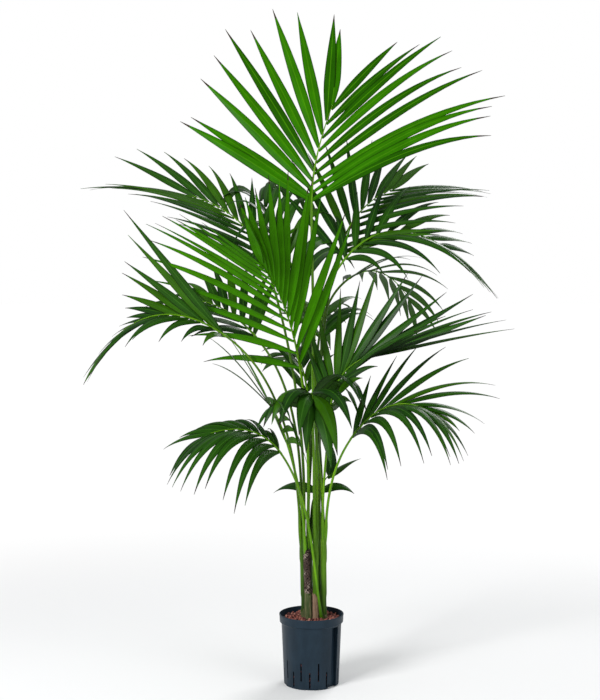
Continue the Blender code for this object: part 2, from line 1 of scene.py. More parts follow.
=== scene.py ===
# Kentia palm in its slotted nursery pot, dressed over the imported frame.
# Metres, Z up, the origin under the middle of the pot, -Y towards the photo's camera.
import math
import random

import bmesh
import bpy
from mathutils import Matrix, Vector, noise


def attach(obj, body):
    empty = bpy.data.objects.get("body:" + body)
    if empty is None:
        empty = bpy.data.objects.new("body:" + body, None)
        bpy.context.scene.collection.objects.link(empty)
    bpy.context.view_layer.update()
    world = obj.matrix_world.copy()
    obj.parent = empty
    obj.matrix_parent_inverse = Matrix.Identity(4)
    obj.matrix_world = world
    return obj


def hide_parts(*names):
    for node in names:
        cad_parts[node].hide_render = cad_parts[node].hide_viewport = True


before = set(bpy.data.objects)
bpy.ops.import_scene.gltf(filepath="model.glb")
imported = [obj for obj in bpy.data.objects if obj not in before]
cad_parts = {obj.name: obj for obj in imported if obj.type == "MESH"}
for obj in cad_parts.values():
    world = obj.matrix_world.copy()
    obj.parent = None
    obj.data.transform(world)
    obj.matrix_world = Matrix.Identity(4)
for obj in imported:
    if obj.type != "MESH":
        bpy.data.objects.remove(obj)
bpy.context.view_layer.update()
scene = bpy.context.scene
upward = Vector((0, 0, 1))
clayTop = 0.189
seam = 0.00001  # points this close are one
tubeSeam = 0.000002


# small helpers

def between(pair, t):
    return pair[0] + (pair[1] - pair[0]) * t


def threeWay(values, t):  # first, middle and last value, pulled towards the middle one
    return values[0] * (1 - t) ** 2 + 2 * values[1] * t * (1 - t) + values[2] * t * t


def smoothStep(low, high, value):
    t = min(1.0, max(0.0, (value - low) / (high - low)))
    return t * t * (3 - 2 * t)


def keepPiece(name, bm, materials=(), slotName=None, nodes=None, sharpAngle=50):
    mesh = bpy.data.meshes.new(name)
    bm.to_mesh(mesh)
    bm.free()
    mesh.shade_smooth()
    mesh.set_sharp_from_angle(angle=math.radians(sharpAngle))
    for material in materials:
        mesh.materials.append(material)
    piece = bpy.data.objects.new(name, mesh)
    scene.collection.objects.link(piece)
    if nodes:
        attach(piece, "root")
        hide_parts(*nodes)
    return piece


# materials

even = (1, 1, 1)


def grey(value):
    return (value, value, value)


black, white = grey(0), grey(1)


def scaled(colour, factor):
    return tuple(part * factor for part in colour)


def startMaterial(name, colour, look):
    material = bpy.data.materials.new(name)
    material.use_nodes = True
    shader = material.node_tree.nodes["Principled BSDF"]
    shader.inputs["Base Color"].default_value = (*colour, 1)
    shader.inputs["Roughness"].default_value = look["roughness"]
    shader.inputs["Specular IOR Level"].default_value = look["gloss"]
    return material, material.node_tree, shader


def addNode(tree, kind, sockets=None, **settings):
    node = tree.nodes.new(kind)
    for key, value in settings.items():
        setattr(node, key, value)
    for key, value in (sockets or {}).items():
        node.inputs[key].default_value = value
    return node


def pieceVector(tree, source, scale=even, turn=(0, 0, 0)):
    # Object coordinates, or the piece's own UV map when a name is given
    if source == "Object":
        start = addNode(tree, "ShaderNodeTexCoord").outputs["Object"]
    else:
        start = addNode(tree, "ShaderNodeUVMap", uv_map=source).outputs["UV"]
    mapping = addNode(tree, "ShaderNodeMapping", {"Scale": scale, "Rotation": turn})
    tree.links.new(start, mapping.inputs["Vector"])
    return mapping.outputs["Vector"]


def oneAxis(tree, source, axis):
    split = addNode(tree, "ShaderNodeSeparateXYZ")
    tree.links.new(pieceVector(tree, source), split.inputs[0])
    return split.outputs[axis]


def fromMidrib(tree):  # 0 at the midrib and 1 at the edges of a blade
    away = oneAxis(tree, "leafUV", "X")
    for operation, number in (("SUBTRACT", 0.5), ("MULTIPLY", 2.0), ("ABSOLUTE", 0.0)):
        step = addNode(tree, "ShaderNodeMath", {1: number}, operation=operation)
        tree.links.new(away, step.inputs[0])
        away = step.outputs[0]
    return away


def pattern(source, stretch=even, scale=1.0, detail=3.0, rough=0.55):
    sockets = {"Scale": scale, "Detail": detail, "Roughness": rough}
    return dict(source=source, stretch=stretch, sockets=sockets)


def addPatterns(tree, look):
    made = {}
    for key, spec in look["patterns"].items():
        node = addNode(tree, "ShaderNodeTexNoise", spec["sockets"])
        tree.links.new(pieceVector(tree, spec["source"], spec["stretch"]), node.inputs["Vector"])
        made[key] = node.outputs["Fac"]
    return made


def addRamp(tree, factor, stops):
    stops = tuple(stops)
    ramp = addNode(tree, "ShaderNodeValToRGB")
    tree.links.new(factor, ramp.inputs["Fac"])
    while len(ramp.color_ramp.elements) < len(stops):
        ramp.color_ramp.elements.new(0.5)
    for element, (place, colour) in zip(ramp.color_ramp.elements, stops):
        element.position = place
        element.color = (*colour, 1)
    return ramp.outputs["Color"]


def mixColour(tree, first, second, factor, kind="MIX"):
    node = addNode(tree, "ShaderNodeMix", data_type="RGBA", blend_type=kind)
    for socket, value in ((node.inputs[6], first), (node.inputs[7], second), (node.inputs[0], factor)):
        if isinstance(value, tuple):
            socket.default_value = (*value, 1)
        elif isinstance(value, float):
            socket.default_value = value
        else:
            tree.links.new(value, socket)
    return node.outputs[2]


def layered(tree, base, factor, stops):  # one colour shaded by a ramp
    return mixColour(tree, base, addRamp(tree, factor, stops), 1.0, "MULTIPLY")


def addBump(tree, height, strength, distance, before=None):
    bump = addNode(tree, "ShaderNodeBump", {"Strength": strength, "Distance": distance})
    tree.links.new(height, bump.inputs["Height"])
    if before is not None:
        tree.links.new(before, bump.inputs["Normal"])
    return bump.outputs["Normal"]


def finishMaterial(tree, shader, colour, bump):
    tree.links.new(colour, shader.inputs["Base Color"])
    tree.links.new(bump, shader.inputs["Normal"])


def patternedMaterial(name, look, colour, shades=None):
    # shades and bumps by the streaks unless the look names other patterns, then whatever else it names
    shades = shades or [scaled(colour, share) for share in look["contrast"]]
    material, tree, shader = startMaterial(name, colour, look)
    maps = addPatterns(tree, look)
    base = addRamp(tree, maps[look.get("colourBy", "streaks")], zip(look["band"], shades))
    if "tones" in look:
        base = layered(tree, base, maps["patches"], look["tones"])
    # painted shade along the rims of each blade
    if "edges" in look:
        base = layered(tree, base, fromMidrib(tree), look["edges"])
    # painted shade by height, darker at the feet of stems and stalks
    if "foot" in look:
        base = layered(tree, base, oneAxis(tree, "Object", "Z"), look["foot"])
    if "dust" in look:
        base = mixColour(tree, base, look["dust"], addRamp(tree, maps["specks"], look["dustBand"]))
    if "roughBy" in look:
        low, high = look["roughBand"]
        rough = addNode(tree, "ShaderNodeMapRange", {"To Min": low, "To Max": high})
        tree.links.new(maps[look["roughBy"]], rough.inputs["Value"])
        tree.links.new(rough.outputs["Result"], shader.inputs["Roughness"])
    finishMaterial(tree, shader, base, addBump(tree, maps[look.get("bumpBy", "streaks")], *look["bump"]))
    return material


leafLook = dict(
    patterns=dict(streaks=pattern("leafUV", (46, 5, 1), 1.0, 4.0), patches=pattern("Object", even, 14)),
    band=(0.25, 0.75), contrast=(0.7, 1.3), tones=((0.3, (0.84, 0.8, 0.8)), (0.7, (1.12, 1.08, 1.0))),
    # the edges ramp is painted shade along the rims of each blade
    edges=((0.88, white), (0.98, (0.3, 0.26, 0.3))), roughBy="patches", bump=(0.35, 0.0004))
roughShift = (-0.05, 0.09)
# the parts of a leaflet in the order of their slots, with their roughness; a dry tip has its own gloss
leafParts = dict(Leaf1=0.32, Leaf2=0.32, Leaf3=0.32, Midrib=0.42, Underside=0.55, DryTip=0.75)
midribSlot, underSlot, tipSlot = 3, 4, 5
tipGloss = 0.15
leafTones = {
    "bright": dict(gloss=0.04, colours=((0.023, 0.146, 0.0), (0.013, 0.088, 0.0), (0.048, 0.235, 0.0),
                                        (0.044, 0.195, 0.001), (0.031, 0.16, 0.0), (0.03, 0.022, 0.01))),
    "middle": dict(gloss=0.1, colours=((0.024, 0.12, 0.001), (0.015, 0.085, 0.001), (0.048, 0.17, 0.002),
                                        (0.052, 0.175, 0.004), (0.034, 0.125, 0.004), (0.026, 0.018, 0.009))),
    "deep": dict(gloss=0.11, colours=((0.014, 0.068, 0.003), (0.009, 0.044, 0.004), (0.027, 0.104, 0.002),
                                      (0.03, 0.112, 0.008), (0.024, 0.082, 0.008), (0.018, 0.012, 0.008))),
}


def leafMaterials(tone):
    made = []
    for (part, roughness), colour in zip(leafParts.items(), leafTones[tone]["colours"]):
        gloss = tipGloss if part == "DryTip" else leafTones[tone]["gloss"]
        band = [roughness + shift for shift in roughShift]
        look = {**leafLook, "roughness": roughness, "gloss": gloss, "roughBand": band}
        made.append(patternedMaterial(tone + part, look, colour))
    return made


# painted shade: stems and stalks darken towards their feet just above the clay
paintedFootShade = ((0.19, (0.36, 0.4, 0.42)), (0.31, white))  # by height: darker just above the clay
stalkLook = dict(
    patterns=dict(streaks=pattern("tubeUV", (26, 9, 1), 1.0, 4.0, 0.6),
                  patches=pattern("Object", (1, 1, 0.35), 30.0)),
    band=(0.28, 0.5, 0.78), tones=((0.3, (0.8, 0.82, 0.8)), (0.7, (1.15, 1.12, 1.0))), foot=paintedFootShade,
    roughness=0.38, gloss=0.16, roughBy="streaks", roughBand=(0.3, 0.52), bump=(0.45, 0.0006))
stalkShades = ((0.028, 0.095, 0.002), (0.075, 0.215, 0.003), (0.23, 0.43, 0.009))
stemLook = dict(
    patterns=dict(streaks=pattern("tubeUV", (34, 7, 1), 1.0, 5.0, 0.62),
                  patches=pattern("Object", (1, 1, 0.25), 26.0, 4.0),
                  specks=pattern("Object", even, 420.0, 2.0)),
    band=(0.25, 0.5, 0.75), tones=((0.25, (0.72, 0.74, 0.7)), (0.75, (1.2, 1.15, 1.05))),
    foot=paintedFootShade, dust=(0.16, 0.14, 0.08), dustBand=((0.55, black), (0.85, grey(0.35))),
    roughness=0.42, gloss=0.16, roughBy="patches", roughBand=(0.34, 0.6), bump=(0.6, 0.0008))
sheathLook = dict(patterns=dict(streaks=pattern("tubeUV", (30, 10, 1), 1.0, 5.0, 0.7)),
                  band=(0.25, 0.5, 0.8), roughness=0.75, gloss=0.25, bump=(0.7, 0.001))
potLook = dict(
    patterns=dict(clouds=pattern("Object", (1, 1, 0.4), 38.0, 5.0, 0.6),
                  specks=pattern("Object", (1, 1, 9), 90.0, 4.0, 0.7),
                  grain=pattern("Object", even, 1400.0, 2.0)),
    colourBy="clouds", band=(0.3, 0.7), contrast=(0.82, 1.22), dust=(0.04, 0.056, 0.07),
    dustBand=((0.6, black), (0.86, grey(0.4))), roughness=0.4, gloss=0.14, roughBy="clouds",
    roughBand=(0.33, 0.5), bumpBy="grain", bump=(0.12, 0.0002))
potColour = (0.0115, 0.0235, 0.0365)
clayLook = dict(
    patterns=dict(patches=pattern("Object", even, 160.0, 5.0, 0.65), pores=pattern("Object", even, 900.0)),
    colourBy="patches", band=(0.28, 0.55, 0.8), contrast=(0.55, 1.0, 1.6), roughness=0.92, gloss=0.2,
    bumpBy="pores", bump=(0.6, 0.0006))
clayColours = ((0.25, 0.084, 0.064), (0.165, 0.052, 0.044), (0.39, 0.168, 0.13), (0.08, 0.028, 0.027))
fibreLook = dict(
    patterns=dict(hairs=pattern("tubeUV", (70, 60, 1), 1.0, 5.0, 0.7),
                  patches=pattern("Object", (1, 1, 0.6), 62.0)),
    # dark is painted shade in the gaps between the threads
    dark=(0.009, 0.006, 0.006), thread=(0.066, 0.044, 0.036), pale=(0.36, 0.29, 0.24), roughness=0.9,
    gloss=0.15, weave=(11, 160, 1), lean=0.8,
    wave={"Scale": 0.32, "Distortion": 7.0, "Detail": 3.0, "Detail Scale": 2.0},
    threadBand=(0.45, 0.9), hairTones=((0.3, (0.22, 0.19, 0.18)), (0.7, (1.7, 1.6, 1.5))),
    crossBand=((0.8, black), (0.97, white)), wornBand=((0.54, grey(0.06)), (0.64, white)),
    hairBump=(0.5, 0.001), meshBump=(0.9, 0.0016))
# the near black between the pellets is painted shade
packedLook = dict(cells=105.0, band=(0.05, 0.3, 0.45), paleShare=0.45, gap=(0.004, 0.003, 0.004),
                  roughness=0.95, gloss=0.1, bump=(0.8, 0.002))


def fibreMaterial(look):  # two waves of threads that cross, worn to pale threads in patches
    material, tree, shader = startMaterial("woodyFibre", look["thread"], look)
    mesh = addNode(tree, "ShaderNodeMath", operation="MAXIMUM")
    for k, turn in enumerate((1, -1)):
        wave = addNode(tree, "ShaderNodeTexWave", look["wave"], wave_type="BANDS")
        vector = pieceVector(tree, "tubeUV", look["weave"], (0, 0, turn * look["lean"]))
        tree.links.new(vector, wave.inputs["Vector"])
        tree.links.new(wave.outputs["Fac"], mesh.inputs[k])
    threads = mesh.outputs[0]
    maps = addPatterns(tree, look)
    # painted shade: near black in the gaps between the threads
    brown = addRamp(tree, threads, zip(look["threadBand"], (look["dark"], look["thread"])))
    brown = layered(tree, brown, maps["hairs"], look["hairTones"])
    bare = layered(tree, addRamp(tree, threads, look["crossBand"]), maps["patches"], look["wornBand"])
    hairs = addBump(tree, maps["hairs"], *look["hairBump"])
    finishMaterial(tree, shader, mixColour(tree, brown, look["pale"], bare),
                   addBump(tree, threads, *look["meshBump"], hairs))
    return material


# painted shade: each pellet darkens from a dull middle to near black in the gaps between them
def packedMaterial(look):  # packed pellets with dark gaps between them, seen through the slits
    material, tree, shader = startMaterial("clayPacked", clayColours[1], look)
    cells = addNode(tree, "ShaderNodeTexVoronoi", {"Scale": look["cells"]})
    tree.links.new(pieceVector(tree, "Object"), cells.inputs["Vector"])
    distance = cells.outputs["Distance"]
    shades = (scaled(clayColours[2], look["paleShare"]), clayColours[3], look["gap"])
    finishMaterial(tree, shader, addRamp(tree, distance, zip(look["band"], shades)),
                   addBump(tree, distance, *look["bump"]))
    return material


def middleMaterial(name, look, shades, share=1.0):  # three shades, the middle one the plain colour
    shades = [scaled(shade, share) for shade in shades]
    return patternedMaterial(name, look, shades[1], shades)


# the dark copy, 0.42 of the plain greens, is painted shade on the stalks of the two back stems
stalkGreens = {name: middleMaterial("stalk" + name.capitalize(), stalkLook, stalkShades, share)
               for name, share in (("lime", 1.15), ("green", 0.8), ("dark", 0.42))}
stemGreens = {name: middleMaterial("stem" + name.capitalize(), stemLook, shades) for name, shades in (
    ("lime", ((0.014, 0.05, 0.002), (0.062, 0.175, 0.003), (0.2, 0.35, 0.012))),
    ("green", ((0.008, 0.03, 0.002), (0.034, 0.105, 0.004), (0.12, 0.24, 0.012))))}
wrapLooks = {name: middleMaterial(name + "Sheath", sheathLook, shades) for name, shades in (
    ("dry", ((0.046, 0.026, 0.017), (0.2, 0.125, 0.078), (0.54, 0.4, 0.28))),
    ("striped", ((0.01, 0.03, 0.005), (0.045, 0.07, 0.018), (0.46, 0.31, 0.2))))}
wrapLooks["fibre"] = fibreMaterial(fibreLook)
potPlastic = patternedMaterial("potPlastic", potLook, potColour)
clays = [patternedMaterial(f"clay{k + 1}", clayLook, colour) for k, colour in enumerate(clayColours)]
packedClay = packedMaterial(packedLook)
print("materials made")


# tubes: a grid rolled round a line, used for stems, stalks and ribs

def addTube(bm, line, sides, rings, reachAt, length):
    # line(t) gives centre, across and up; reachAt(angle, t) gives the distance from the line
    uv = bm.loops.layers.uv.get("tubeUV") or bm.loops.layers.uv.new("tubeUV")
    grid = bmesh.ops.create_grid(bm, x_segments=sides, y_segments=rings, size=1, calc_uvs=True)
    stations = {}
    faces = set()
    for vert in grid["verts"]:
        faces.update(vert.link_faces)
        angle = math.pi * (vert.co.x + 1)
        t = round((vert.co.y + 1) / 2, 6)
        if t not in stations:
            stations[t] = line(t)
        centre, across, up = stations[t]
        vert.co = centre + (across * math.cos(angle) + up * math.sin(angle)) * reachAt(angle, t)
    for face in faces:
        for loop in face.loops:
            loop[uv].uv.y *= length
    bmesh.ops.remove_doubles(bm, verts=grid["verts"], dist=tubeSeam)
    rim = [edge for edge in bm.edges if edge.is_boundary]
    bmesh.ops.edgeloop_fill(bm, edges=rim)
    bmesh.ops.recalc_face_normals(bm, faces=bm.faces)


def squareFrame(along, heading):
    across = Vector((-math.sin(heading), math.cos(heading), 0))
    across = (across - along * across.dot(along)).normalized()
    return across, along.cross(across)


# pot: a spun shell, then the inside, the gauge channel and the slits are cut

# roundings are pairs of how far in from the named radius and how far up from the named height
pot = dict(height=0.198, rimRadius=0.09, shoulderRadius=0.0835, footRadius=0.0765, band=0.023,
           wall=0.0024, floor=0.003, steps=160, sharpAngle=32, hollow=0.0006,
           footRound=((0.009, 0.0006), (0.0075, 0.0), (0.0018, 0.0), (0.0005, 0.0005), (0.0, 0.0018)),
           shoulderRound=((0.0, -0.004), (-0.0008, -0.0022)),
           ledgeRound=((0.003, 0.0), (0.0016, 0.001), (0.0012, 0.003)),
           rimRound=((0.0006, -0.005), (0.0, -0.004), (0.0, -0.0012), (0.0008, 0.0)),
           floorRound=((0.001, 0.0), (0.0, 0.001)), insideLedge=0.004,
           insideRim=((0.0006, -0.003), (0.0, -0.0004), (0.0, 0.01)),
           channelAngle=-38.0, channelWidth=0.026, channelDepth=0.009, channelTop=0.17, channelOut=0.02,
           notchAngle=-42.0, notchWidth=0.034, notchHeight=0.014, notchDepth=0.022,
           slits=20, slitWidth=0.0045, slitDepth=0.016, firstSlit=-93.8, lowSlit=(0.005, 0.049),
           highSlit=(0.024, 0.075), slitClear=15, scallops=5, scallopSize=(0.007, 0.024, 0.0052),
           scallopClear=20, below=0.01)


def rounded(radius, height, pairs):
    return [(radius - inset, height + rise) for inset, rise in pairs]


def turnBetween(first, second):  # the angle between two directions, in degrees
    return abs((first - second + 180) % 360 - 180)


def spunBody(profile, steps):
    bm = bmesh.new()
    verts = [bm.verts.new((radius, 0, height)) for radius, height in profile]
    edges = [bm.edges.new(pair) for pair in zip(verts, verts[1:])]
    bmesh.ops.spin(bm, geom=verts + edges, cent=(0, 0, 0), axis=(0, 0, 1), angle=2 * math.pi,
                   steps=steps, use_merge=True)
    bmesh.ops.remove_doubles(bm, verts=bm.verts, dist=seam)
    bmesh.ops.recalc_face_normals(bm, faces=bm.faces)
    return bm


def cutterBlock(size, place, angle):
    bm = bmesh.new()
    bmesh.ops.create_cube(bm, size=1)
    bmesh.ops.scale(bm, verts=bm.verts, vec=size)
    bmesh.ops.translate(bm, verts=bm.verts, vec=place)
    bmesh.ops.rotate(bm, verts=bm.verts, cent=(0, 0, 0), matrix=Matrix.Rotation(math.radians(angle), 3, "Z"))
    return keepPiece("cutter", bm)


def cutAway(piece, cutters):
    group = bpy.data.collections.new("cutters")
    scene.collection.children.link(group)
    for cutter in cutters:
        scene.collection.objects.unlink(cutter)
        group.objects.link(cutter)
    cut = piece.modifiers.new("cut", "BOOLEAN")
    cut.operation = "DIFFERENCE"
    cut.operand_type = "COLLECTION"
    cut.collection = group
    cut.solver = "EXACT"
    bpy.context.view_layer.update()
    mesh = bpy.data.meshes.new_from_object(piece.evaluated_get(bpy.context.evaluated_depsgraph_get()))
    piece.modifiers.clear()
    piece.data = mesh
    for cutter in cutters:
        bpy.data.objects.remove(cutter, do_unlink=True)
    bpy.data.collections.remove(group)


def channelBlock(grow, bottom):
    outer = pot["rimRadius"] + pot["channelOut"]
    inner = pot["footRadius"] - pot["channelDepth"] - grow
    size = (outer - inner, pot["channelWidth"] + 2 * grow, pot["channelTop"] + grow - bottom)
    return cutterBlock(size, ((outer + inner) / 2, 0, bottom + size[2] / 2), pot["channelAngle"])


def makePot():
    rim, shoulderRadius, foot = pot["rimRadius"], pot["shoulderRadius"], pot["footRadius"]
    height, wall, shoulder = pot["height"], pot["wall"], pot["height"] - pot["band"]
    shell = [(0, pot["hollow"]), *rounded(foot, 0, pot["footRound"]),
             *rounded(shoulderRadius, shoulder, pot["shoulderRound"]),
             *rounded(rim, shoulder, pot["ledgeRound"]), *rounded(rim, height, pot["rimRound"]), (0, height)]
    piece = keepPiece("potShell", spunBody(shell, pot["steps"]), [potPlastic], "pot_plastic", ["pot"])
    hollow = [(0, pot["floor"]), *rounded(foot - wall, pot["floor"], pot["floorRound"]),
              (shoulderRadius - wall, shoulder), (rim - 2 * wall, shoulder + pot["insideLedge"]),
              *rounded(rim - wall, height, pot["insideRim"]), (0, height + pot["insideRim"][-1][1])]
    inside = keepPiece("potInside", spunBody(hollow, pot["steps"]))
    cutAway(inside, [channelBlock(wall, 0.0)])
    below, notchHeight = pot["below"], pot["notchHeight"]
    cutters = [inside, channelBlock(0.0, -below)]
    cutters.append(cutterBlock((pot["notchDepth"], pot["notchWidth"], notchHeight + below),
                               (foot, 0, (notchHeight - below) / 2), pot["notchAngle"]))
    for k in range(pot["slits"]):
        angle = pot["firstSlit"] + 360 / pot["slits"] * k
        if turnBetween(angle, pot["channelAngle"]) < pot["slitClear"]:
            continue
        low, high = pot["lowSlit"] if k % 2 == 0 else pot["highSlit"]
        at = between((foot, shoulderRadius), low / shoulder)
        size = (pot["slitDepth"], pot["slitWidth"], high - low)
        cutters.append(cutterBlock(size, (at, 0, (low + high) / 2), angle))
    for k in range(pot["scallops"]):  # shallow scallops under the foot let the water out
        angle = pot["firstSlit"] + 360 / pot["scallops"] * k
        if turnBetween(angle, pot["notchAngle"]) > pot["scallopClear"]:
            cutters.append(cutterBlock(pot["scallopSize"], (foot, 0, 0), angle))
    cutAway(piece, cutters)
    bm = bmesh.new()
    bm.from_mesh(piece.data)
    bmesh.ops.triangulate(bm, faces=[face for face in bm.faces if len(face.verts) > 4])
    bm.to_mesh(piece.data)
    bm.free()
    piece.data.shade_smooth()
    piece.data.set_sharp_from_angle(angle=math.radians(pot["sharpAngle"]))
    piece.data.materials.clear()
    piece.data.materials.append(potPlastic)
    return piece


makePot()
print("pot made")


# clay: a spun body seen through the slits, and loose pellets on top

clay = dict(radius=0.0808, bodyTop=0.179, bodyFoot=(0.0045, 0.006), bodyBevel=(0.002, 0.001), bodySteps=96,
            clear=0.0008, notchClear=0.001, notchDepth=0.024, bed=(0.1802, 0.1858), uneven=0.0012,
            size=(0.0034, 0.0056), layers=(270, 300), tries=9000, closest=0.86, stretch=(0.82, 1.1),
            lumps=0.0011, lumpScale=150.0, subdivisions=2, tones=(0, 0, 0, 1, 1, 2, 3), mostTurn=6.28,
            axisRise=0.3, seed=7)


def makeClay():
    grow = pot["wall"] + clay["clear"]
    foot, top = pot["footRadius"] - grow, pot["shoulderRadius"] - grow
    (lowFoot, highFoot), (footBevel, topBevel) = clay["bodyFoot"], clay["bodyBevel"]
    bm = spunBody(((0, lowFoot), (foot - footBevel, lowFoot), (foot, highFoot),
                   (top - topBevel, clay["bodyTop"]), (0, clay["bodyTop"])), clay["bodySteps"])
    body = keepPiece("clayBody", bm, [packedClay], "clay_pellets", ["clay_fill"])
    clear = clay["notchClear"]
    notch = cutterBlock((clay["notchDepth"], pot["notchWidth"] + 2 * clear, 2 * (pot["notchHeight"] + clear)),
                        (pot["footRadius"], 0, 0), pot["notchAngle"])
    cutAway(body, [channelBlock(grow, 0.0), notch])
    chance = random.Random(clay["seed"])
    bm = bmesh.new()
    placed = []
    for height, count in zip(clay["bed"], clay["layers"]):
        tries = made = 0
        while made < count and tries < clay["tries"]:
            tries += 1
            size = chance.uniform(*clay["size"])
            reach = (clay["radius"] - size) * math.sqrt(chance.random())
            angle = chance.uniform(0, 2 * math.pi)
            level = height + chance.uniform(-1, 1) * clay["uneven"]
            centre = Vector((reach * math.cos(angle), reach * math.sin(angle), level))
            if any((centre - other).length < (size + broad) * clay["closest"] for other, broad in placed):
                continue
            placed.append((centre, size))
            made += 1
            low, high = clay["stretch"]
            stretch = Matrix.Diagonal((chance.uniform(low, high), chance.uniform(low, high), low, 1))
            spin = chance.uniform(0, clay["mostTurn"])
            turn = Matrix.Rotation(spin, 4, Vector((chance.random(), chance.random(), clay["axisRise"])))
            ball = bmesh.ops.create_icosphere(bm, subdivisions=clay["subdivisions"], radius=size,
                                              matrix=Matrix.Translation(centre) @ turn @ stretch)
            tone = chance.choice(clay["tones"])
            for vert in ball["verts"]:
                push = noise.noise(vert.co * clay["lumpScale"]) * clay["lumps"]
                vert.co += (vert.co - centre).normalized() * push
                for face in vert.link_faces:
                    face.material_index = tone
    return keepPiece("clayPellets", bm, clays, "clay_pellets", ["clay_fill"], 180)


makeClay()
print("clay made")


# stems: each a cane wrapped in leaf sheaths that overlap in a slow spiral

stems = {
    "left": dict(foot=(-0.019, 0.012), top=(-0.026, 0.015, 0.43), radius=(0.0088, 0.0098), green="green",
                 stalks="green"),
    "fibre": dict(foot=(-0.009, -0.012), top=(-0.013, -0.01, 0.388), radius=(0.0085, 0.0094), green="green",
                  stalks="lime"),
    "middle": dict(foot=(0.012, -0.01), top=(0.011, -0.012, 0.42), radius=(0.0075, 0.0094), green="lime",
                   stalks="green"),
    "right": dict(foot=(0.033, -0.004), top=(0.034, -0.003, 0.44), radius=(0.009, 0.0098), green="lime",
                  stalks="lime"),
    # the back stems' stalks take the dark copy of the greens, painted shade
    "back_left": dict(foot=(-0.004, 0.037), top=(-0.006, 0.04, 0.425), radius=(0.0085, 0.0096),
                      green="green", stalks="dark"),
    "back_right": dict(foot=(0.024, 0.027), top=(0.025, 0.03, 0.435), radius=(0.0088, 0.0098),
                       green="green", stalks="dark"),
}
stemShape = dict(sides=40, rings=64, sunk=0.01, flare=0.22, flarePower=6, wrapTurns=2.6, wrapStart=0.37,
                 wrapEnd=0.94, wrapStep=0.12, ribs=7, ribDepth=0.035, ribTwist=3, lipShare=0.2,
                 lipRadius=0.0008, lipStart=0.22, slotCircle=0.0055, slotLean=0.04)


def stemLine(stem, low=0.0, high=1.0):
    foot = Vector((*stem["foot"], clayTop - stemShape["sunk"]))
    top = Vector(stem["top"])
    along = (top - foot).normalized()
    across, up = squareFrame(along, 0.0)

    def line(t):
        return foot.lerp(top, low + (high - low) * t), across, up
    return line, (top - foot).length * (high - low), along


def stemRadius(stem, body):
    return between(stem["radius"], body) * (1 + stemShape["flare"] * (1 - body) ** stemShape["flarePower"])


def stemSlot(name):
    return "brown_fibre" if name == "fibre" else "green_stem"


def makeStem(name, stem):
    line, length, along = stemLine(stem, 0.0, 1.0 + stemShape["lipShare"])
    share = 1 / (1.0 + stemShape["lipShare"])
    start = sum(map(ord, name))

    def reachAt(angle, t):
        body = min(1.0, t / share)
        radius = stemRadius(stem, body)
        wrap = (angle / (2 * math.pi) + body * stemShape["wrapTurns"] + start * stemShape["wrapStart"]) % 1.0
        end = stemShape["wrapEnd"]
        radius *= 1 - stemShape["wrapStep"] * smoothStep(0.0, end, wrap) * (1 - smoothStep(end, 1.0, wrap))
        rib = math.sin(stemShape["ribs"] * angle + start + body * stemShape["ribTwist"])
        radius *= 1 + stemShape["ribDepth"] * rib
        closing = smoothStep(share - stemShape["lipStart"], 1.0, t)  # the sheath closes round the stalks
        return radius + (stemShape["lipRadius"] - radius) * closing

    bm = bmesh.new()
    addTube(bm, line, stemShape["sides"], stemShape["rings"], reachAt, length)
    green = stemGreens[stem["green"]]
    return keepPiece("stem_" + name + "_cane", bm, [green], stemSlot(name), ["stem_" + name])


# loose wraps on the canes: their stem, how high in metres above the floor, and how far they stand off
usualWrap = dict(low=0.182, stand=0.0009, lumps=0.0006)
wraps = {
    "fibre_mesh": dict(stem="fibre", low=0.258, high=0.382, stand=0.001, ragged=0.01, look="fibre",
                       lumps=0.0011),
    "fibre_foot": dict(stem="fibre", high=0.262, ragged=0.012, look="striped", lumps=0.0007),
    "middle_dry": dict(stem="middle", high=0.26, stand=0.0012, ragged=0.016, look="dry", lumps=0.0007),
    "left_dry": dict(stem="left", high=0.206, ragged=0.012, look="striped"),
    "right_dry": dict(stem="right", high=0.199, ragged=0.01, look="striped"),
    "back_left_dry": dict(stem="back_left", high=0.262, stand=0.001, ragged=0.022, look="fibre",
                          lumps=0.0008),
    "back_right_dry": dict(stem="back_right", high=0.222, stand=0.001, ragged=0.018, look="dry"),
}
wrapShape = dict(sides=36, rings=40, lumpsAround=2, lumpsAlong=9, lumpsApart=40, tuckFrom=0.9, tuck=0.0013,
                 tornScale=190, tornBias=0.3, tornFrom=0.3)


def makeWrap(name, wrap):
    stem = stems[wrap["stem"]]
    foot, top = clayTop - stemShape["sunk"], stem["top"][2]
    low, high = ((wrap[key] - foot) / (top - foot) for key in ("low", "high"))
    line, length, along = stemLine(stem, low, high)
    around = wrapShape["lumpsAround"]

    def reachAt(angle, t):
        height = t * wrapShape["lumpsAlong"] + low * wrapShape["lumpsApart"]
        place = Vector((math.cos(angle) * around, math.sin(angle) * around, height))
        lumps = noise.noise(place) * wrap["lumps"]
        tuck = smoothStep(wrapShape["tuckFrom"], 1.0, t) * wrapShape["tuck"]
        radius = stemRadius(stem, low + (high - low) * t)
        return radius * (1 + stemShape["ribDepth"]) + wrap["stand"] + lumps - tuck

    bm = bmesh.new()
    addTube(bm, line, wrapShape["sides"], wrapShape["rings"], reachAt, length)
    for vert in bm.verts:  # a ragged upper edge
        t = (vert.co.z - wrap["low"]) / (wrap["high"] - wrap["low"])
        torn = noise.noise(Vector((vert.co.x, vert.co.y, low)) * wrapShape["tornScale"])
        torn -= wrapShape["tornBias"]
        vert.co += along * torn * wrap["ragged"] * smoothStep(wrapShape["tornFrom"], 1.0, t)
    nodes = ["stem_" + wrap["stem"]]
    return keepPiece("wrap_" + name, bm, [wrapLooks[wrap["look"]]], stemSlot(wrap["stem"]), nodes)


for name, stem in stems.items():
    makeStem(name, stem)
for name, wrap in wraps.items():
    makeWrap(name, {**usualWrap, **wrap})
print("stems made")


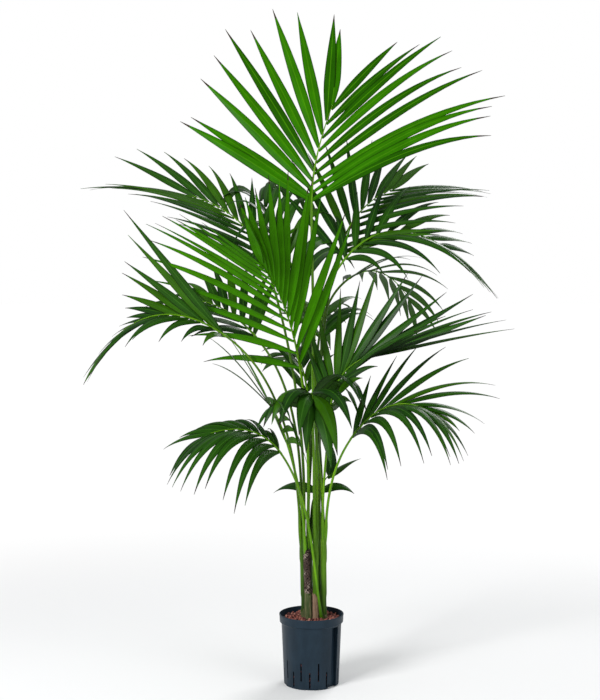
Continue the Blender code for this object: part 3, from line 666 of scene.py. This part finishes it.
# fronds, from the top of the crown down: each side gives its spread, length, droop and rise

def side(spread, length, droop, rise=(10, 10), slim=1.0):
    return dict(spread=spread, length=length, droop=droop, rise=rise, slim=slim)


def bothSides(*values):
    return dict(left=side(*values), right=side(*values))


usualFrond = dict(roll=0, first=0.02, crowd=1.0, tone="deep", split=None)
fronds = {
    "top": dict(
        stem="middle", slot=60, heading=85, pairs=10, crowd=1.3, width=0.037, taper=3.0, tone="bright",
        neck=(0.0, 0.05, 1.34), crest=(0.015, 0.095, 1.47), tip=(0.06, 0.16, 1.62),
        left=side((58, 10), (0.42, 0.6, 0.26), (0.1, 0.0), (5, 5)),
        right=side((60, 20), (0.56, 0.64, 0.25), (0.55, 0.15), (5, 5), 0.8)),
    "front": dict(
        stem="fibre", slot=60, heading=250, pairs=12, first=0.06, crowd=0.9, width=0.03, taper=2.2,
        tone="bright",
        neck=(-0.03, -0.06, 0.88), crest=(-0.07, -0.14, 1.05), tip=(-0.13, -0.26, 1.175),
        left=side((30, 8), (0.4, 0.54, 0.22), (0.0, 0.0)),
        right=side((80, 30), (0.28, 0.62, 0.18), (0.5, 0.0))),
    "middle_right": dict(
        stem="right", slot=230, heading=0, roll=25, pairs=11, width=0.032, taper=1.9,
        neck=(0.05, -0.04, 0.765), crest=(0.083, -0.06, 0.87), tip=(0.162, -0.08, 0.925),
        left=side((34, 6), (0.2, 0.34, 0.32), (0.0, 0.0), (40, 30)),
        right=side((64, 8), (0.12, 0.44, 0.42), (0.5, 0.1))),
    "lower_right": dict(
        stem="right", slot=350, heading=-12, roll=20, pairs=10, width=0.032, taper=1.7, split=0.45,
        neck=(0.105, -0.07, 0.695), crest=(0.195, -0.115, 0.786), tip=(0.295, -0.16, 0.792),
        left=side((28, 8), (0.16, 0.44, 0.12), (0.1, 0.9), (30, 0)),
        right=side((48, 16), (0.3, 0.34, 0.18), (2.2, 1.8))),
    "lower_left": dict(
        stem="", heading=188, roll=-20, pairs=9, width=0.033, taper=1.9, split=0.45,
        foot=(0.029, -0.021, clayTop), footLean=(-0.17, -0.04, 1.0),
        neck=(-0.082, -0.072, 0.655), crest=(-0.162, -0.11, 0.722), tip=(-0.27, -0.15, 0.722),
        left=side((54, 20), (0.29, 0.36, 0.18), (2.0, 1.5), (0, 5)),
        right=side((50, 16), (0.1, 0.12, 0.14), (1.4, 0.7))),
    "low_front": dict(
        stem="middle", slot=240, heading=290, pairs=6, width=0.05, taper=2.2,
        neck=(0.0, -0.09, 0.765), crest=(-0.003, -0.13, 0.825), tip=(0.003, -0.19, 0.815),
        left=side((50, 15), (0.24, 0.26, 0.2), (3.0, 2.5), (20, 20)),
        right=side((50, 15), (0.2, 0.2, 0.18), (3.0, 2.5), (20, 20))),
    "small_left": dict(
        stem="fibre", slot=220, heading=200, pairs=6, width=0.026, taper=1.7, tone="middle",
        neck=(-0.065, -0.045, 0.675), crest=(-0.093, -0.07, 0.755), tip=(-0.118, -0.11, 0.8),
        left=side((70, 30), (0.16, 0.22, 0.26), (2.5, 0.6)),
        right=side((40, 12), (0.2, 0.32, 0.24), (0.4, 0.4))),
    "arching_left": dict(
        stem="left", slot=210, heading=185, roll=-25, pairs=11, first=0.01, width=0.032, taper=1.8, split=0.4,
        neck=(-0.235, -0.03, 0.975), crest=(-0.395, -0.05, 1.035), tip=(-0.535, -0.06, 0.972),
        left=side((46, 24), (0.08, 0.32, 0.16), (1.4, 0.6)),
        right=side((17, 14), (0.45, -0.08, 0.16), (0.0, 0.5), (75, -40))),
    "arching_right": dict(
        stem="right", slot=110, heading=15, roll=30, pairs=9, width=0.031, taper=1.8, split=0.4,
        neck=(0.09, 0.08, 1.18), crest=(0.215, 0.12, 1.262), tip=(0.365, 0.16, 1.228),
        left=side((48, 26), (0.18, 0.3, 0.14), (0.6, 0.3), (20, 15)),
        right=side((62, 30), (0.14, 0.5, 0.2), (1.5, 0.6))),
    "upper_left": dict(
        stem="left", slot=330, heading=150, roll=-30, pairs=10, width=0.03, taper=1.7,
        neck=(-0.125, 0.12, 1.165), crest=(-0.205, 0.18, 1.29), tip=(-0.345, 0.26, 1.368),
        left=side((56, 10), (0.26, 0.4, 0.36), (0.3, 0.35)),
        right=side((46, 8), (0.17, 0.22, 0.36), (0.8, 0.1), (20, 20))),
    "upper_right": dict(
        stem="back_right", slot=240, heading=40, roll=30, pairs=10, width=0.031, taper=1.8,
        neck=(0.075, 0.12, 1.195), crest=(0.137, 0.2, 1.315), tip=(0.24, 0.3, 1.39),
        left=side((54, 12), (0.28, 0.32, 0.2), (0.2, 0.2), (20, 20)),
        right=side((70, 26), (0.28, 0.42, 0.3), (0.4, 0.4))),
    "upper_back": dict(
        stem="back_left", slot=240, heading=110, pairs=8, width=0.042, taper=1.9,
        neck=(-0.03, 0.15, 1.095), crest=(-0.1, 0.225, 1.27), tip=(-0.155, 0.34, 1.36),
        left=side((50, 30), (0.25, 0.26, 0.2), (2.2, 2.2), (50, 50)),
        right=side((50, 30), (0.25, 0.3, 0.2), (2.2, 2.2), (50, 50))),
    "middle_left": dict(
        stem="left", slot=90, heading=160, roll=-30, pairs=9, width=0.033, taper=1.7,
        neck=(-0.155, 0.08, 0.965), crest=(-0.245, 0.12, 1.04), tip=(-0.335, 0.18, 1.065),
        left=side((55, 14), (0.22, 0.24, 0.18), (1.0, 0.5), (20, 20)),
        right=side((60, 20), (0.25, 0.24, 0.12), (0.8, 0.5), (20, 20))),
    "back_right": dict(
        stem="back_right", slot=0, heading=35, roll=-15, pairs=7, width=0.03, taper=1.7,
        neck=(0.105, 0.2, 1.125), crest=(0.205, 0.3, 1.145), tip=(0.3, 0.4, 1.06),
        left=side((50, 16), (0.2, 0.26, 0.16), (0.6, 0.6)),
        right=side((50, 16), (0.2, 0.26, 0.16), (1.0, 1.0))),
    "back": dict(
        stem="back_right", slot=120, heading=92, pairs=7, width=0.038, taper=1.8,
        neck=(0.03, 0.19, 0.95), crest=(0.03, 0.31, 1.03), tip=(0.025, 0.45, 1.0),
        **bothSides((42, 16), (0.2, 0.26, 0.2), (1.1, 0.9), (15, 15))),
    "low_back": dict(
        stem="back_left", slot=120, heading=108, pairs=6, width=0.038, taper=1.8,
        neck=(-0.01, 0.125, 0.8), crest=(-0.035, 0.22, 0.89), tip=(-0.07, 0.34, 0.895),
        **bothSides((36, 14), (0.16, 0.2, 0.16), (0.7, 0.7), (20, 15))),
    "small_back": dict(
        stem="back_left", slot=0, heading=60, pairs=2, first=0.1, width=0.042, taper=2.2,
        neck=(0.014, 0.086, 0.52), crest=(0.032, 0.11, 0.545), tip=(0.052, 0.134, 0.568),
        left=side((92, 26), (0.16, 0.12, 0.12), (1.2, 0.3)),
        right=side((64, 12), (0.11, 0.13, 0.12), (1.4, 0.2))),
}
fronds = {name: {**usualFrond, **frond} for name, frond in fronds.items()}
ahead = 0.01  # share of a line looked ahead to find its direction
stalkShape = dict(radius=(0.0046, 0.0036), base=0.0066, baseShare=0.1, baseSwell=0.8, sides=16, rings=56,
                  flat=0.34, groove=0.1, groovePower=8, sink=0.075, freeSink=0.008, footSize=(0.55, 0.45),
                  measures=20)
ribShape = dict(radius=(0.0036, 0.0011), taperPower=0.8, sides=12, rings=40, flat=0.25)
leafShape = dict(columns=4, rows=14, across=(0.0, 0.085, 1.0), thickness=(0.0007, 0.0004), bendSteps=24,
                 bendPower=1.6, spreadPower=0.9, rootWidth=0.33, rootDepth=0.0008, start=0.0025,
                 fold=(0.95, 0.3), foldPower=6, foldReach=0.8, foldLift=0.55, camber=0.05, twist=22.0,
                 tipWidth=0.0005, tipStart=0.93, dryTips=0.8, stagger=0.35, tipPower=1.1, broadest=0.42)
jitter = dict(turn=3.2, length=0.07, droop=0.2)


def ribPoint(frond, t):
    neck, crest, tip = (Vector(frond[key]) for key in ("neck", "crest", "tip"))
    pull = 2 * crest - (neck + tip) / 2
    return threeWay((neck, pull, tip), t)


def ribDirection(frond, t):
    return (ribPoint(frond, t + ahead) - ribPoint(frond, t - ahead)).normalized()


def bladeFrame(frond, t):
    along = ribDirection(frond, t)
    across, up = squareFrame(along, math.radians(frond["heading"]))
    roll = Matrix.Rotation(math.radians(frond["roll"]), 3, along)
    return along, roll @ across, roll @ up


def stalkPoint(frond, t):
    if frond["stem"]:
        angle = math.radians(frond["slot"])
        out = Vector((math.cos(angle), math.sin(angle), 0))
        foot = Vector(stems[frond["stem"]]["top"]) + out * stemShape["slotCircle"]
        lean = (upward + out * stemShape["slotLean"]).normalized()
    else:
        foot, lean = Vector(frond["foot"]), Vector(frond["footLean"]).normalized()
    neck, end = Vector(frond["neck"]), ribDirection(frond, 0.0)
    reach = (neck - foot).length
    startShare = 2 * t ** 3 - 3 * t ** 2 + 1
    return (foot * startShare + neck * (1 - startShare)
            + lean * (t ** 3 - 2 * t ** 2 + t) * reach + end * (t ** 3 - t ** 2) * reach)


def makeStalk(name, frond):
    heading = math.radians(frond["heading"])
    foot = stalkPoint(frond, 0)
    lean = (stalkPoint(frond, ahead) - foot).normalized()
    sink = stalkShape["sink" if frond["stem"] else "freeSink"]  # how far the foot runs down in sheath or clay
    hidden = sink / (sink + (stalkPoint(frond, 1) - foot).length)

    def place(t):
        if t < hidden:
            return foot - lean * sink * (1 - t / hidden)
        return stalkPoint(frond, (t - hidden) / (1 - hidden))

    def line(t):
        along = (place(min(1, t + ahead)) - place(max(0, t - ahead))).normalized()
        return place(t), *squareFrame(along, heading)

    def reachAt(angle, t):
        body = max(0.0, (t - hidden) / (1 - hidden))
        radius = between(stalkShape["radius"], body)
        swell = 1 - smoothStep(0, stalkShape["baseShare"], body)
        radius += (stalkShape["base"] - radius) * swell * stalkShape["baseSwell"]
        radius *= stalkShape["footSize"][0] + stalkShape["footSize"][1] * smoothStep(0, hidden, t)
        upper = max(0.0, math.sin(angle))
        groove = stalkShape["groove"] * upper ** stalkShape["groovePower"]
        return radius * (1 - stalkShape["flat"] * upper ** 2 - groove)

    count = stalkShape["measures"]
    length = sum((stalkPoint(frond, (k + 1) / count) - stalkPoint(frond, k / count)).length
                 for k in range(count))
    bm = bmesh.new()
    addTube(bm, line, stalkShape["sides"], stalkShape["rings"], reachAt, length)
    green = stalkGreens[stems[frond["stem"]]["stalks"] if frond["stem"] else "lime"]
    return keepPiece("stalk_" + name + "_smooth", bm, [green], "green_stem", ["stalk_" + name])


def frondNodes(name, frond):
    if frond["split"]:
        return [f"frond_{name}_inner", f"frond_{name}_outer"]
    return ["frond_" + name]


def makeRib(name, frond):
    def line(t):
        along, across, up = bladeFrame(frond, t)
        return ribPoint(frond, t), across, up

    def reachAt(angle, t):
        radius = between(ribShape["radius"], t ** ribShape["taperPower"])
        return radius * (1 - ribShape["flat"] * max(0.0, math.sin(angle)) ** 2)

    length = (ribPoint(frond, 1.0) - ribPoint(frond, 0.0)).length
    bm = bmesh.new()
    addTube(bm, line, ribShape["sides"], ribShape["rings"], reachAt, length)
    return keepPiece("rib_" + name, bm, [stalkGreens["lime"]], "leaf_" + frond["tone"],
                     frondNodes(name, frond))


# which of a tone's three greens prevail, on the two sides of the big bright fronds and on all others; on the
# big bright fronds this is painted light and shade: the side away from the key light takes more of the darker
# green, and the front frond's other side more of the paler green
usualMix = (0, 0, 0, 1, 1, 2)
litShadedSideMix = {
    "top": {1: usualMix, -1: (1, 1, 1, 1, 0, 0)},
    "front": {1: (0, 0, 0, 2, 2, 1), -1: (0, 0, 1, 1, 1, 2)},
}


def leafletSpots(name, frond):
    chance = random.Random(frond["pairs"] * 1000 + frond["heading"])
    spots = []
    for k in range(frond["pairs"]):
        for sign in (1, -1):
            t = between((frond["first"], 1.0), (k / (frond["pairs"] - 1)) ** frond["crowd"])
            if sign < 0:
                t = max(0.0, t - leafShape["stagger"] / frond["pairs"])
            vary = {key: chance.uniform(-1, 1) * size for key, size in jitter.items()}
            vary["twist"] = chance.uniform(-1, 1)
            # on the top and front fronds the green is picked by side as painted light and shade
            vary["tone"] = chance.choice(litShadedSideMix[name][sign] if name in litShadedSideMix else usualMix)
            vary["dry"] = chance.random() < leafShape["dryTips"]
            spots.append((sign, t, vary))
    return spots


def leafletLine(frond, sign, t, vary):
    spec = frond["left"] if sign > 0 else frond["right"]
    along, across, up = bladeFrame(frond, t)
    spread = math.radians(between(spec["spread"], t ** leafShape["spreadPower"]) + vary["turn"])
    rise = math.radians(between(spec["rise"], t))
    sideways = across * sign * math.cos(rise) + up * math.sin(rise)
    start = along * math.cos(spread) + sideways * math.sin(spread)
    length = threeWay(spec["length"], t) * (1 + vary["length"])
    droop = between(spec["droop"], t) * (1 + vary["droop"])
    broad = (along - start * along.dot(start)).normalized() * sign
    points = [ribPoint(frond, t) + (sideways - up) * leafShape["rootDepth"]]
    steps = leafShape["bendSteps"]
    for k in range(steps):
        bend = droop * ((k + 0.5) / steps) ** leafShape["bendPower"]
        points.append(points[-1] + (start - upward * bend).normalized() * length / steps)
    return points, start, broad, length, frond["width"] * spec["slim"]


def leafletWidth(u, taper):
    root = leafShape["rootWidth"]
    swell = root + (1 - root) * math.sin(min(1, u / leafShape["broadest"]) * math.pi / 2)
    return swell * max(0.0, 1 - u ** taper) ** leafShape["tipPower"]


def makeTemplate():
    # one flat closed leaflet: x across from -1 to 1, y the row, z 0 underneath and 1 on top
    bm = bmesh.new()
    uv = bm.loops.layers.uv.new("leafUV")
    bmesh.ops.create_grid(bm, x_segments=leafShape["columns"], y_segments=leafShape["rows"], size=1,
                          calc_uvs=True)
    half = leafShape["columns"] // 2
    for vert in bm.verts:
        column = round(vert.co.x * half)
        vert.co.x = math.copysign(leafShape["across"][abs(column)], column) if column else 0.0
        vert.co.y = round((vert.co.y + 1) / 2 * leafShape["rows"])
    raised = bmesh.ops.extrude_face_region(bm, geom=bm.faces[:], use_keep_orig=True)
    for item in raised["geom"]:
        if isinstance(item, bmesh.types.BMVert):
            item.co.z = 1
    for face in bm.faces:
        middle = face.calc_center_median()
        face.material_index = 0
        if middle.z == 0:
            face.material_index = underSlot
        elif abs(middle.x) < leafShape["across"][1]:
            face.material_index = midribSlot
        if middle.y > leafShape["tipStart"] * leafShape["rows"]:
            face.material_index = tipSlot
    bmesh.ops.recalc_face_normals(bm, faces=bm.faces)
    mesh = bpy.data.meshes.new("leafletTemplate")
    bm.to_mesh(mesh)
    bm.free()
    return mesh


def leafletRows(frond, line, vary):
    points, start, broad, length, width = line
    steps = leafShape["bendSteps"]
    rows = []
    for row in range(leafShape["rows"] + 1):
        u = row / leafShape["rows"]
        k = min(int(u * steps), steps - 1)
        centre = points[k].lerp(points[k + 1], u * steps - k)
        direction = (points[min(steps, k + 2)] - points[max(0, k - 1)]).normalized()
        flat = (broad - direction * broad.dot(direction)).normalized()
        up = flat.cross(direction)
        turn = Matrix.Rotation(math.radians(leafShape["twist"] * vary["twist"]) * u, 3, direction)
        flat, up = turn @ flat, turn @ up
        half = max(leafShape["tipWidth"], width * leafletWidth(u, frond["taper"]) / 2)
        root, tip = leafShape["fold"]
        fold = tip + (root - tip) * (1 - u) ** leafShape["foldPower"]
        rows.append((centre, flat, up, half, fold, between(leafShape["thickness"], u)))
    return rows


def addLeaflet(bm, template, frond, line, vary):
    first = len(bm.verts)
    firstFace = len(bm.faces)
    bm.from_mesh(template)
    bm.verts.ensure_lookup_table()
    bm.faces.ensure_lookup_table()
    rows = leafletRows(frond, line, vary)
    for vert in bm.verts[first:]:
        x, row, top = vert.co
        centre, flat, up, half, fold, thickness = rows[int(row)]
        lean = fold * abs(x)
        camber = leafShape["camber"] * math.sin(abs(x) * math.pi)
        reach = half * math.cos(fold * leafShape["foldReach"])
        rise = (camber - lean * leafShape["foldLift"]) * half + (top - 0.5) * thickness
        vert.co = centre + flat * x * reach + up * rise
    for face in bm.faces[firstFace:]:
        if face.material_index == tipSlot and not vary["dry"]:
            face.material_index = 0
        if face.material_index == 0:
            face.material_index = vary["tone"]


toneMaterials = {tone: leafMaterials(tone) for tone in leafTones}
template = makeTemplate()


def makeLeaflets(name, frond):
    bm = bmesh.new()
    bm.loops.layers.uv.new("leafUV")
    length = (ribPoint(frond, 1.0) - ribPoint(frond, 0.0)).length
    clear = frond["width"] * leafShape["rootWidth"] / 2 + leafShape["start"]
    for sign, t, vary in leafletSpots(name, frond):
        t = max(t, clear / length)
        addLeaflet(bm, template, frond, leafletLine(frond, sign, t, vary), vary)
    return keepPiece("leaflets_" + name, bm, toneMaterials[frond["tone"]], "leaf_" + frond["tone"],
                     frondNodes(name, frond), 60)


for name, frond in fronds.items():
    makeStalk(name, frond)
    makeRib(name, frond)
    makeLeaflets(name, frond)
bpy.data.meshes.remove(template)
print("fronds made:", len(fronds))


# stage, light and camera

stage = dict(floorSize=60.0, floorColour=grey(0.9), floor=dict(roughness=0.9, gloss=0.1), floorCells=4,
             paleFrom=0.9, paleAt=2.6,
             skyColour=(0.96, 0.98, 1.0), skyStrength=0.42,
             lights=(("keyLight", (-2.9, -3.3, 2.7), 1.8, 200.0), ("fillLight", (3.0, -2.8, 1.8), 2.4, 45.0),
                     ("rimLight", (1.8, 3.0, 3.2), 2.0, 90.0)), aim=(0, 0, 1.0))
camera = dict(place=(-0.032, -4.0, 1.2), tiltDown=3.8, focal=1452.0, imageHeight=700.0, sensor=36.0)


def makeStage():
    bm = bmesh.new()
    bmesh.ops.create_grid(bm, x_segments=stage["floorCells"], y_segments=stage["floorCells"],
                          size=stage["floorSize"] / 2)
    floor = keepPiece("floor", bm)
    material, tree, shader = startMaterial("floorPale", stage["floorColour"], stage["floor"])
    away = addNode(tree, "ShaderNodeVectorMath", operation="LENGTH")
    tree.links.new(pieceVector(tree, "Object"), away.inputs[0])
    fade = addNode(tree, "ShaderNodeMapRange", {"From Min": stage["paleFrom"], "From Max": stage["paleAt"]},
                   interpolation_type="SMOOTHSTEP")
    tree.links.new(away.outputs["Value"], fade.inputs["Value"])
    colour = addRamp(tree, fade.outputs["Result"], ((0, stage["floorColour"]), (1, black)))
    tree.links.new(colour, shader.inputs["Base Color"])
    shader.inputs["Emission Color"].default_value = (1, 1, 1, 1)
    tree.links.new(fade.outputs["Result"], shader.inputs["Emission Strength"])
    floor.data.materials.append(material)
    world = bpy.data.worlds.new("studio")
    world.use_nodes = True
    tree = world.node_tree
    sky = tree.nodes["Background"]
    sky.inputs["Color"].default_value = (*stage["skyColour"], 1)
    sky.inputs["Strength"].default_value = stage["skyStrength"]
    backdrop = addNode(tree, "ShaderNodeBackground", {"Color": (1, 1, 1, 1)})
    rays = addNode(tree, "ShaderNodeLightPath")
    both = addNode(tree, "ShaderNodeMixShader")
    tree.links.new(rays.outputs["Is Camera Ray"], both.inputs[0])
    tree.links.new(sky.outputs[0], both.inputs[1])
    tree.links.new(backdrop.outputs[0], both.inputs[2])
    tree.links.new(both.outputs[0], tree.nodes["World Output"].inputs["Surface"])
    scene.world = world
    for name, place, size, power in stage["lights"]:
        data = bpy.data.lights.new(name, "AREA")
        data.size = size
        data.energy = power
        light = bpy.data.objects.new(name, data)
        light.location = place
        light.rotation_mode = "QUATERNION"
        light.rotation_quaternion = (Vector(stage["aim"]) - Vector(place)).to_track_quat("-Z", "Y")
        scene.collection.objects.link(light)


def makeCamera():
    data = bpy.data.cameras.new("camera")
    data.sensor_width = camera["sensor"]
    data.lens = camera["sensor"] * camera["focal"] / camera["imageHeight"]
    item = bpy.data.objects.new("camera", data)
    item.location = camera["place"]
    item.rotation_euler = (math.radians(90 - camera["tiltDown"]), 0, 0)
    scene.collection.objects.link(item)
    scene.camera = item


makeStage()
makeCamera()
scene.view_settings.view_transform = "Standard"
print("stage made")
